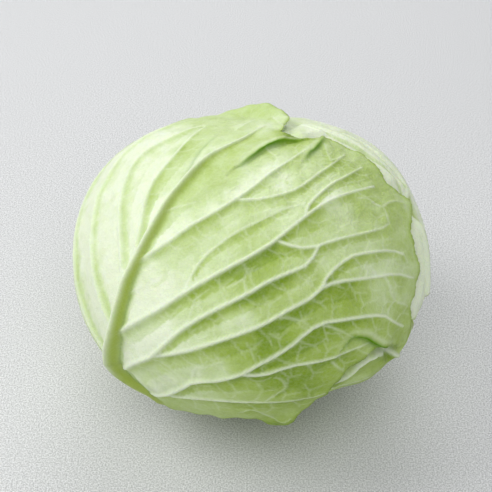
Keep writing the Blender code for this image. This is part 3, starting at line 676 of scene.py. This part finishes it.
def right_leaf(above):
    """The next leaf in, of which a pale band shows at the right."""
    sheet = Sheet(90.0, 20.0)
    midrib = Rib(sheet, RIGHT_MIDRIB, RIGHT_MIDRIB_HALF_WIDTHS, RIGHT_MIDRIB_HEIGHTS, VIEW, slim=1.0)
    ribs = side_ribs(sheet, midrib, 104.0, 6, sides=(1.0,))
    ribs += [Rib(sheet, points, (1.6, 1.9), (0.7, 0.9), VIEW) for points in RIGHT_RIBS]
    return Leaf("right", sheet, np.array(RIGHT_EDGE, float), midrib, (44.0, 12.0, 9.5),
                ribs + branch_veins(sheet, ribs, 42), above=above)


def back_leaf(above):
    """The leaf that covers the back."""
    sheet = Sheet(-122.0, 15.0)
    midrib = plain_midrib(sheet, -122.0, 96.0, (8.5, 1.5), (5.0, 0.6))
    edge = round_edge(116.0, -112.0, 108.0)
    ribs = side_ribs(sheet, midrib, 100.0, 6)
    return Leaf("back", sheet, edge, midrib, (48.0, 12.0, 10.0),
                ribs + branch_veins(sheet, ribs, 43), above=above)


def lower_leaf(above):
    """The innermost of the four leaves, which bulges out below the front one."""
    sheet = Sheet(16.0, 5.0)
    midrib = plain_midrib(sheet, 16.0, 80.0, (8.0, 1.5), (4.6, 0.6))
    edge = round_edge(104.0, -104.0, 90.0)
    ribs = [Rib(sheet, points, widths, heights, VIEW) for widths, heights, points in LOW_RIBS]
    return Leaf("lower", sheet, edge, midrib, (44.0, 12.0, 10.0), ribs,
                bulges=LOW_BULGES, above=above)


def base_rise(leaf, directions):
    """Height of the blade itself over the head, how bare of other leaves it is, how near its
    hem a point is, and how far inside its outline."""
    within, along = leaf.cover(directions)
    within = np.maximum(within, 0.0)
    depth = np.full(len(directions), leaf.depth)
    bare = np.ones(len(directions))
    for other in leaf.above:
        bare = bare * (1.0 - smooth_step(other.cover(directions)[0], -SKIRT_WIDTH, -SKIRT_END))
    lift = min(leaf.depth, LAYER_DEPTH["back"]) * BARE_LIFT_SHARE
    base = -depth + bare * lift
    hem = np.exp(-(within / HEM_WIDTH) ** 2)
    turns = round(lengths(leaf.margin)[-1] * DRAWING_RADIUS / FLUTE_LENGTH)
    wave = np.sin(2 * math.pi * turns * along) + 0.6 * np.sin(2 * math.pi * 2.6 * turns * along)
    flute = np.clip(0.5 + 0.4 * wave, 0.0, 1.2)
    base = base + hem * FLUTE_LIFT * flute * (bare if leaf.above else 1.0)
    for place in leaf.lifts:
        base = base + bump(directions, *place) * hem
    for place in leaf.bulges:
        base = base + bump(directions, *place) * bare
    for fold in leaf.folds:
        base = base + fold.height(directions)
    return base, bare, hem, within


def soft_noise(points, cell, seed):
    """Smooth random values from -1 to 1 at flat points, with about the given cell size."""
    rng = np.random.default_rng(seed)
    low = points.min(0) - cell
    size = np.ceil((points.max(0) + cell - low) / cell).astype(int) + 2
    values = rng.uniform(-1.0, 1.0, size)
    place = (points - low) / cell
    corner = np.floor(place).astype(int)
    share = place - corner
    share = share * share * (3.0 - 2.0 * share)
    i, j = corner[:, 0], corner[:, 1]
    a, b = share[:, 0], share[:, 1]
    return ((values[i, j] * (1 - a) + values[i + 1, j] * a) * (1 - b)
            + (values[i, j + 1] * (1 - a) + values[i + 1, j + 1] * a) * b)


def net_lines(flat, cell, seed):
    """How far each flat point is from the borders between random cells."""
    rng = np.random.default_rng(seed)
    low, high = flat.min(0) - cell, flat.max(0) + cell
    seeds = []
    for y in np.arange(low[1], high[1], cell):
        for x in np.arange(low[0], high[0], cell):
            seeds.append((x + rng.uniform(-0.45, 0.45) * cell, y + rng.uniform(-0.45, 0.45) * cell))
    tree = kdtree.KDTree(len(seeds))
    for index, (x, y) in enumerate(seeds):
        tree.insert((x, y, 0.0), index)
    tree.balance()
    gaps = np.empty(len(flat))
    for index, (x, y) in enumerate(flat):
        first, second = tree.find_n((x, y, 0.0), 2)
        gaps[index] = second[2] - first[2]
    return gaps


def honeycomb(low, high, spacing):
    """Points in staggered rows over a rectangle."""
    row_height = spacing * math.sqrt(0.75)
    rows = []
    for row, y in enumerate(np.arange(low[1], high[1], row_height)):
        x = np.arange(low[0] + (spacing / 2 if row % 2 else 0.0), high[0], spacing)
        rows.append(np.stack([x, np.full(len(x), y)], 1))
    return np.concatenate(rows)


def covered(leaf, flat):
    """Which flat points lie well under the leaves above."""
    directions = leaf.sheet.wrap(flat)
    hidden = np.zeros(len(flat), bool)
    for other in leaf.above:
        hidden |= other.cover(directions)[0] > HIDDEN_DISTANCE
    return hidden


def fill_outline(outline, grid):
    """Flat points and triangles inside an outline; the outline's points come first."""
    count = len(outline)
    points = [Vector(p) for p in outline] + [Vector(p) for p in grid]
    edges = [(i, (i + 1) % count) for i in range(count)]
    found = delaunay_2d_cdt(points, edges, [], 1, 1e-5)
    return np.array([tuple(v) for v in found[0]]), [tuple(face) for face in found[2]]


def grid_inside(leaf, outline, spacing, gap):
    """Even points inside the outline, at least the gap away from the margin."""
    grid = honeycomb(outline.min(0), outline.max(0), spacing)
    grid = grid[inside(grid, outline)]
    within = leaf.cover(leaf.sheet.wrap(grid))[0]
    return grid[within > gap]


def rippled_outline(leaf):
    """The outline at fine spacing, with small ripples in the leaf's own plane."""
    fine = curve_through(leaf.outline, FINE_MARGIN_SPACING, closed=True)
    forward = np.roll(fine, -1, axis=0) - np.roll(fine, 1, axis=0)
    out = unit(np.stack([forward[:, 1], -forward[:, 0]], 1))
    t = np.linspace(0.0, 2 * math.pi, len(fine), endpoint=False)
    turns = len(fine) * FINE_MARGIN_SPACING / RIPPLE_LENGTH
    ripple = sum(height * np.sin(round(turns * rate) * t + phase) for height, rate, phase in RIPPLES)
    return fine + out * ripple[:, None]


def leaf_relief(leaf, flat, directions):
    """Outer height over the head and the shading values of a leaf's points."""
    base, bare, hem, within = base_rise(leaf, directions)
    ridge, slope, white, shade = (np.zeros(len(flat)) for _ in range(4))
    for rib in leaf.ribs:
        r, s, w, d = rib.relief(directions)
        ridge = np.maximum(ridge, r)
        slope = np.maximum(slope, s)
        white = np.maximum(white, w)
        shade = np.where(np.abs(d) > np.abs(shade), d, shade)
    share = COVERED_RIB_SHARE + (1.0 - COVERED_RIB_SHARE) * bare
    gaps = net_lines(flat, NET_CELL, 11 + len(leaf.above))
    bent = flat + soft_noise(flat, 5.0, 3)[:, None]
    fine_gaps = net_lines(bent, FINE_NET_CELL, 5 + len(leaf.above))
    net = np.exp(-(gaps / NET_LINE_WIDTH) ** 2) * smooth_step(within, 1.0, 6.0)
    fine_net = np.exp(-(fine_gaps / FINE_NET_LINE_WIDTH) ** 2)
    pillow = sum(height * soft_noise(flat, cell, seed) for height, cell, seed in PILLOWS)
    quiet = 1.0 - np.clip(white * 1.3, 0.0, 1.0)
    relief = (ridge + slope) * share + (0.3 + pillow * quiet) * (1.0 - hem) * bare
    relief = relief + (0.15 * net + 0.05 * fine_net) * quiet * bare
    tones = {"white": white, "net": net, "fine_net": fine_net}
    tones["green"] = greenness(leaf, flat, directions, shade, within)
    # Olive flank: pigment and painted shade; the crease beside it gets painted shade in deep green
    tones["olive"], seam_shade = olive_and_shaded_flank(leaf, directions)
    tones["fold"] = 0.35 * seam_shade
    shade_folds(leaf, directions, tones)
    return base + relief, tones


def shade_folds(leaf, directions, tones):
    """Paints shade in deep green on each pleat's low side, and a painted highlight on the lip of its
    high side.
    """
    for fold in leaf.folds:
        distance, along, side = nearest(directions, fold.line)
        reach = np.where(side > 0, *FOLD_SHADE_REACH)
        strength = min(1.0, fold.top / DARK_FOLD_HEIGHT) * fold.swell(along)
        tones["fold"] = np.maximum(tones["fold"], strength * np.exp(-(distance / reach) ** 2))
        # Painted highlight on the lip of the pleat's high side
        lip = np.exp(-(distance - LIP_DISTANCE) ** 2) * (side > 0)
        tones["white"] = np.maximum(tones["white"], 0.45 * strength * lip)


def olive_and_shaded_flank(leaf, directions):
    """How olive a point is: the stalk, and the right flank of the midrib low down, partly pigment and
    partly painted shade on that right side.

    Also the painted shade in the crease where that flank meets the blade."""
    midrib = leaf.midrib
    distance, along, side = nearest(directions, midrib.line)
    half_width = at_stations(along, midrib.half_widths) * midrib.slim
    place = -side * distance
    flank = np.exp(-((place - 0.4 * half_width - 1.0) / (0.25 * half_width + 0.9)) ** 2)
    flank = flank * (1.0 - 0.7 * smooth_step(along, 0.55, 0.9))
    stalk = 1.0 - smooth_step(along, 0.34, 0.41)
    stalk = stalk * (1.0 - smooth_step(distance / half_width, 0.8, 1.3))
    stalk = stalk * (0.3 + 0.7 * smooth_step(place / half_width, -0.4, 0.4))
    seam_shade = np.exp(-((place - half_width - 0.3) / 0.6) ** 2) * (1.0 - smooth_step(along, 0.5, 0.75))
    return np.clip(np.maximum(flank, stalk), 0.0, 1.0), seam_shade


def greenness(leaf, flat, directions, shade, within):
    """Pigment of the blade from 0, nearly white, to 1, full green, plus painted shade right of its ribs
    and painted light left of them.
    """
    green = np.full(len(flat), MIDDLE_GREEN[leaf.name])
    if leaf.name == "front":
        for u, v, radius, amount in FRONT_PATCHES:
            green = green + spot(directions, VIEW.wrap((u, v))[0], radius, amount)
    else:
        rise = np.clip(np.linalg.norm(flat, axis=1) / 130.0, 0.0, 1.0)
        green = green + 0.25 * rise ** 2
    rim = np.exp(-(within / 1.6) ** 2)
    green = np.maximum(green, LEAST_GREEN)
    # Painted shade and painted light beside the ribs, partly pigment
    green = green + 0.30 * shade + 0.10 * soft_noise(flat, 22.0, 21)
    green = green + 0.06 * soft_noise(flat, 7.0, 22) + 0.30 * rim
    return np.clip(green, 0.0, 1.0)


def add_piece(name, points, faces, tones, material, node):
    """A smooth-shaded piece with its shading values, riding on the head in place of its CAD node."""
    mesh = bpy.data.meshes.new(name)
    mesh.from_pydata(((points + HEAD_CENTRE) * MM).tolist(), [], faces)
    for key, values in tones.items():
        layer = mesh.attributes.new(key, "FLOAT", "POINT")
        layer.data.foreach_set("value", np.ascontiguousarray(values, np.float32))
    mesh.materials.append(material)
    mesh.shade_smooth()
    piece = bpy.data.objects.new(name, mesh)
    bpy.context.scene.collection.objects.link(piece)
    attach(piece, "root")
    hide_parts(node)
    return piece


def tuck_folds(leaf, directions, points):
    """Pulls the high side of each pleat over its low side, so that its edge overhangs."""
    for fold in leaf.folds:
        distance, along, side = nearest(directions, fold.line)
        over = points_at(along, np.linspace(0.0, 1.0, len(fold.line)), rightward(fold.line))
        pull = np.exp(-(distance / np.where(side > 0, 3.5, 0.9)) ** 2)
        height = fold.top / FULL_FOLD_HEIGHT * fold.swell(along)
        points = points + over * (FOLD_PULL * height * pull)[:, None]
    return points


def outer_sheet(leaf, outline):
    """Points, triangles and shading values of a leaf's outer face; the outline's points come first."""
    grid = grid_inside(leaf, outline, FINE_SPACING, 0.6 * FINE_SPACING)
    if leaf.above:
        sparse = grid_inside(leaf, outline, HIDDEN_SPACING, HIDDEN_SPACING)
        grid = np.concatenate([grid[~covered(leaf, grid)], sparse[covered(leaf, sparse)]])
    flat, triangles = fill_outline(outline, grid)
    directions = leaf.sheet.wrap(flat)
    rise, tones = leaf_relief(leaf, flat, directions)
    return tuck_folds(leaf, directions, skin(directions, rise)), triangles, tones


def inner_sheet(leaf, outline):
    """Points and triangles of a leaf's inner face, which is deeper beside the pleats."""
    grid = grid_inside(leaf, outline, INNER_SPACING, 0.5 * INNER_SPACING)
    flat, triangles = fill_outline(outline, grid)
    directions = leaf.sheet.wrap(flat)
    base, _, _, within = base_rise(leaf, directions)
    full = smooth_step(within, 0.0, MARGIN_TAPER)
    thick = MARGIN_THICKNESS + (LEAF_THICKNESS - MARGIN_THICKNESS) * full
    for fold in leaf.folds:
        gap = nearest(directions, fold.line)[0]
        thick = thick + INNER_FOLD_DEPTH * np.exp(-(gap / INNER_FOLD_WIDTH) ** 2)
    return tuck_folds(leaf, directions, skin(directions, base - thick)), triangles


def add_leaf(leaf, material):
    """A leaf's two faces, joined along its margin."""
    outline = rippled_outline(leaf)
    outer, triangles, tones = outer_sheet(leaf, outline)
    inner, inner_triangles = inner_sheet(leaf, outline)
    start = len(outer)
    faces = triangles + [tuple(start + i for i in reversed(face)) for face in inner_triangles]
    for i in range(len(outline)):
        j = (i + 1) % len(outline)
        faces.append((j, i, start + i, start + j))
    for key, values in tones.items():
        plain = INNER_FACE_GREEN if key == "green" else 0.0
        tones[key] = np.concatenate([values, np.full(len(inner), plain)])
    node = leaf.name + "_leaf"
    points = np.concatenate([outer, inner])
    add_piece(node + "_blade", points, faces, tones, material, node)


def feed(node, inputs):
    """Links sockets to a node's inputs and sets constants on them."""
    for key, value in inputs.items():
        if isinstance(value, bpy.types.NodeSocket):
            node.id_data.links.new(value, node.inputs[key])
        else:
            node.inputs[key].default_value = value


def new_material(name):
    """A material, its shader, a function that adds a node with its inputs, and the place."""
    material = bpy.data.materials.new(name)
    material.use_nodes = True
    nodes = material.node_tree.nodes

    def add(kind, inputs=None, **settings):
        node = nodes.new(kind)
        for key, value in settings.items():
            setattr(node, key, value)
        feed(node, inputs or {})
        return node

    place = add("ShaderNodeTexCoord").outputs["Object"]
    return material, nodes["Principled BSDF"], add, place


def noise(add, place, scale, detail, roughness=0.5):
    """Procedural noise at a place."""
    return add("ShaderNodeTexNoise", {"Vector": place, "Scale": scale, "Detail": detail,
                                      "Roughness": roughness}).outputs["Fac"]


def bump_normal(add, height, strength, distance):
    """The shading normal of a fine relief."""
    return add("ShaderNodeBump", {"Height": height, "Strength": strength,
                                  "Distance": distance}).outputs["Normal"]


def mix_colour(add, factor, first, second, blend="MIX"):
    """The first colour with a share of the second; either may be a socket or three numbers."""
    first, second = ((*paint, 1.0) if isinstance(paint, tuple) else paint for paint in (first, second))
    node = add("ShaderNodeMix", {0: factor, 6: first, 7: second}, data_type="RGBA",
               blend_type=blend)
    return node.outputs[2]


def arithmetic(add, operation, first, second=0.0, clamp=False):
    """The result of one arithmetic node."""
    node = add("ShaderNodeMath", {0: first, 1: second}, operation=operation, use_clamp=clamp)
    return node.outputs[0]


def times(add, first, second, clamp=False):
    """A product."""
    return arithmetic(add, "MULTIPLY", first, second, clamp)


def stretch(add, value, scale, offset, clamp=False):
    """A value times a scale, plus an offset."""
    node = add("ShaderNodeMath", {0: value, 1: scale, 2: offset}, operation="MULTIPLY_ADD",
               use_clamp=clamp)
    return node.outputs[0]


def leaf_colour(add, mottle, grain, lines):
    """The blade's colour from its pigment, veins and stalk, with painted shade on the midrib's right
    flank, in creases and in pleats, and the mask of the pleats.
    """
    keys = ("green", "net", "fine_net", "white", "olive", "fold")
    green, net, fine_net, white, olive, fold = (
        add("ShaderNodeAttribute", attribute_name=key).outputs["Fac"] for key in keys)
    uneven = times(add, arithmetic(add, "SUBTRACT", mottle, 0.5), 0.42)
    green = arithmetic(add, "ADD", green, uneven, True)
    ramp = add("ShaderNodeValToRGB", {0: green})
    while len(ramp.color_ramp.elements) < len(LEAF_RAMP):
        ramp.color_ramp.elements.new(0.5)
    for index, (element, step) in enumerate(zip(ramp.color_ramp.elements, LEAF_RAMP)):
        element.position = index / (len(LEAF_RAMP) - 1)
        element.color = (*step, 1.0)
    colour = ramp.outputs["Color"]
    # The olive coat is partly painted shade, the white coat holds painted highlights on pleat lips, and
    # the deep green coat is painted shade
    coats = ((net, 0.07, WHITE), (fine_net, 0.06, WHITE), (lines, 0.04, WHITE),
             (white, 0.85, WHITE), (olive, 0.95, OLIVE), (fold, 1.0, FOLD_SHADE_GREEN))
    for mask, share, paint in coats:
        colour = mix_colour(add, times(add, mask, share), colour, paint)
    return mix_colour(add, 1.0, colour, stretch(add, grain, 0.16, 0.92), "MULTIPLY"), fold


def leaf_material(name, bump_strength):
    """A waxy leaf, whose fine unevenness is procedural."""
    material, shader, add, place = new_material(name)
    mottle = noise(add, place, 130.0, 5.0, 0.6)
    grain = noise(add, place, 900.0, 3.0, 0.6)
    cells = add("ShaderNodeTexVoronoi", {"Vector": place, "Scale": 420.0},
                feature="DISTANCE_TO_EDGE").outputs["Distance"]
    lines = arithmetic(add, "SUBTRACT", 1.0, times(add, cells, 7.0, True), True)
    colour, fold = leaf_colour(add, mottle, grain, lines)
    height = arithmetic(add, "ADD", times(add, lines, 0.35), times(add, grain, 0.5))
    height = arithmetic(add, "ADD", height, times(add, mottle, 1.2))
    feed(shader, {"Base Color": colour,
                  "Normal": bump_normal(add, height, bump_strength, 0.0006),
                  "Roughness": stretch(add, grain, 0.18, 0.40),
                  "Specular IOR Level": stretch(add, fold, -0.32, 0.32),
                  "Subsurface Weight": 0.25,
                  "Subsurface Radius": (0.8, 1.0, 0.3),
                  "Subsurface Scale": 0.002})
    return material


def ring_faces(below, above, sides):
    """Four-sided faces between two rings of points, given by their first points."""
    pairs = [(side, (side + 1) % sides) for side in range(sides)]
    return [(below + side, below + after, above + after, above + side) for side, after in pairs]


def add_heart(material):
    """The dense inner head, with low waves for its folded leaves."""
    rings, sides = 90, 180
    turns = np.linspace(0.0, 2 * math.pi, sides, endpoint=False)
    polar = np.linspace(0.0, math.pi, rings + 1)[1:-1]
    grid = np.array([(math.sin(p) * math.cos(t), math.sin(p) * math.sin(t), math.cos(p))
                     for p in polar for t in turns])
    directions = np.concatenate([[(0.0, 0.0, 1.0)], grid, [(0.0, 0.0, -1.0)]])
    wave = 0.25 * np.sin(np.arctan2(directions[:, 1], directions[:, 0]) * 9.0)
    wave = wave * (1 - directions[:, 2] ** 2)
    points = skin(directions, wave - LAYER_DEPTH["heart"])
    half_height = HEAD_HALF_HEIGHT - LAYER_DEPTH["heart"]
    radius = HEAD_RADIUS - LAYER_DEPTH["heart"]
    foot = -half_height * math.sqrt(1.0 - (HEART_FLAT_RADIUS / radius) ** 2)
    points[:, 2] = np.maximum(points[:, 2], foot)
    last = len(points) - 1
    low = last - sides
    faces = []
    for side in range(sides):
        after = (side + 1) % sides
        faces += [(0, 1 + side, 1 + after), (last, low + after, low + side)]
    for top in range(1, low, sides):
        faces += ring_faces(top + sides, top, sides)
    tones = {key: np.zeros(len(points)) for key in ("net", "fine_net", "fold", "olive")}
    tones["white"] = np.clip(wave * 2.0, 0.0, 1.0)
    tones["green"] = np.full(len(points), HEART_GREEN)
    add_piece("heart_ball", points, faces, tones, material, "heart")


def stem_material():
    """Pale fibres with darker dots."""
    material, shader, add, place = new_material("cut_stem")
    fibre = noise(add, place, 260.0, 6.0)
    dots = add("ShaderNodeTexVoronoi", {"Vector": place, "Scale": 700.0}).outputs["Distance"]
    colour = mix_colour(add, fibre, (0.62, 0.66, 0.40), (0.80, 0.80, 0.60))
    colour = mix_colour(add, times(add, dots, 0.35, True), colour, (0.50, 0.46, 0.26))
    feed(shader, {"Base Color": colour, "Normal": bump_normal(add, fibre, 0.5, 0.0006),
                  "Roughness": 0.7})
    return material


def add_stem(material):
    """The cut stump: a fibrous face below and a slightly ridged neck."""
    low, high = STEM_BOX
    height = (high.z - low.z) / MM
    sides = 120
    profile = ((3.0, 0.0), (8.0, 0.0), (14.8, 0.0), (15.7, 0.4), (16.0, 1.2), (16.6, 0.3 * height),
               (17.3, 0.6 * height), (16.6, height - 0.6), (15.8, height))
    points = []
    for index, (radius, z) in enumerate(profile):
        for turn in np.linspace(0.0, 2 * math.pi, sides, endpoint=False):
            ridge = 0.25 * math.sin(11.0 * turn) + 0.12 * math.sin(29.0 * turn)
            r = radius - 0.3 + (ridge * 0.6 if index > 2 else 0.0)
            points.append((r * math.cos(turn), r * math.sin(turn), z - HEAD_CENTRE_HEIGHT))
    faces = [tuple(reversed(range(sides)))]
    last = (len(profile) - 1) * sides
    for ring in range(0, last, sides):
        faces += ring_faces(ring, ring + sides, sides)
    faces.append(tuple(range(last, last + sides)))
    piece = add_piece("stem_stump", np.array(points), faces, {}, material, "stem")
    piece.data.set_sharp_from_angle(angle=math.radians(50.0))


def add_floor():
    """A plain pale floor with a fine grain."""
    bpy.ops.mesh.primitive_plane_add(size=6.0, location=(0.0, 0.0, 0.0))
    floor = bpy.context.object
    floor.name = "floor"
    material, shader, add, place = new_material("floor")
    speckle = stretch(add, noise(add, place, 1100.0, 2.0, 0.7), 4.0, -1.5, True)
    cloud = noise(add, place, 7.0, 4.0)
    colour = mix_colour(add, speckle, (0.45, 0.455, 0.46), (0.84, 0.845, 0.86))
    colour = mix_colour(add, times(add, cloud, 0.25), colour, (0.66, 0.67, 0.69))
    feed(shader, {"Base Color": colour, "Normal": bump_normal(add, speckle, 0.25, 0.0005),
                  "Roughness": 0.75})
    floor.data.materials.append(material)


def add_light(name, bearing, elevation, distance, size, power, colour):
    """A round soft light that faces the head."""
    data = bpy.data.lights.new(name, "AREA")
    data.shape = "DISK"
    data.size = size
    data.energy = power
    data.color = colour
    light = bpy.data.objects.new(name, data)
    direction = Vector(toward(bearing, elevation))
    light.location = direction * distance + Vector((0.0, 0.0, LIGHT_AIM_HEIGHT))
    light.rotation_euler = direction.to_track_quat("Z", "Y").to_euler()
    bpy.context.scene.collection.objects.link(light)


def add_world():
    """An even pale surround."""
    world = bpy.data.worlds.new("studio")
    world.use_nodes = True
    feed(world.node_tree.nodes["Background"],
         {"Color": (0.98, 0.99, 1.0, 1.0), "Strength": WORLD_STRENGTH})
    bpy.context.scene.world = world


def add_camera():
    """The camera at the photograph's viewing angle."""
    data = bpy.data.cameras.new("camera")
    data.lens = CAMERA_LENS
    data.sensor_width = CAMERA_SENSOR
    camera = bpy.data.objects.new("camera", data)
    bpy.context.scene.collection.objects.link(camera)
    back, right, up = VIEW.middle, VIEW.right, VIEW.up
    place = HEAD_CENTRE + back * CAMERA_DISTANCE + right * CAMERA_RIGHT + up * CAMERA_UP
    turn = Matrix((right, up, back)).transposed()
    camera.matrix_world = Matrix.Translation(place * MM) @ turn.to_4x4()
    bpy.context.scene.camera = camera


def main():
    add_camera()
    add_world()
    add_floor()
    for name, settings in LIGHTS.items():
        add_light(name, *settings)
    outer = leaf_material("outer_leaf", 0.5)
    inner = leaf_material("inner_leaf", 0.4)
    front = front_leaf()
    right = right_leaf((front,))
    back = back_leaf((front, right))
    for leaf in (front, right, back):
        add_leaf(leaf, outer)
    add_leaf(lower_leaf((front, right, back)), inner)
    add_heart(inner)
    add_stem(stem_material())
    bpy.context.scene.view_settings.view_transform = "Standard"


main()
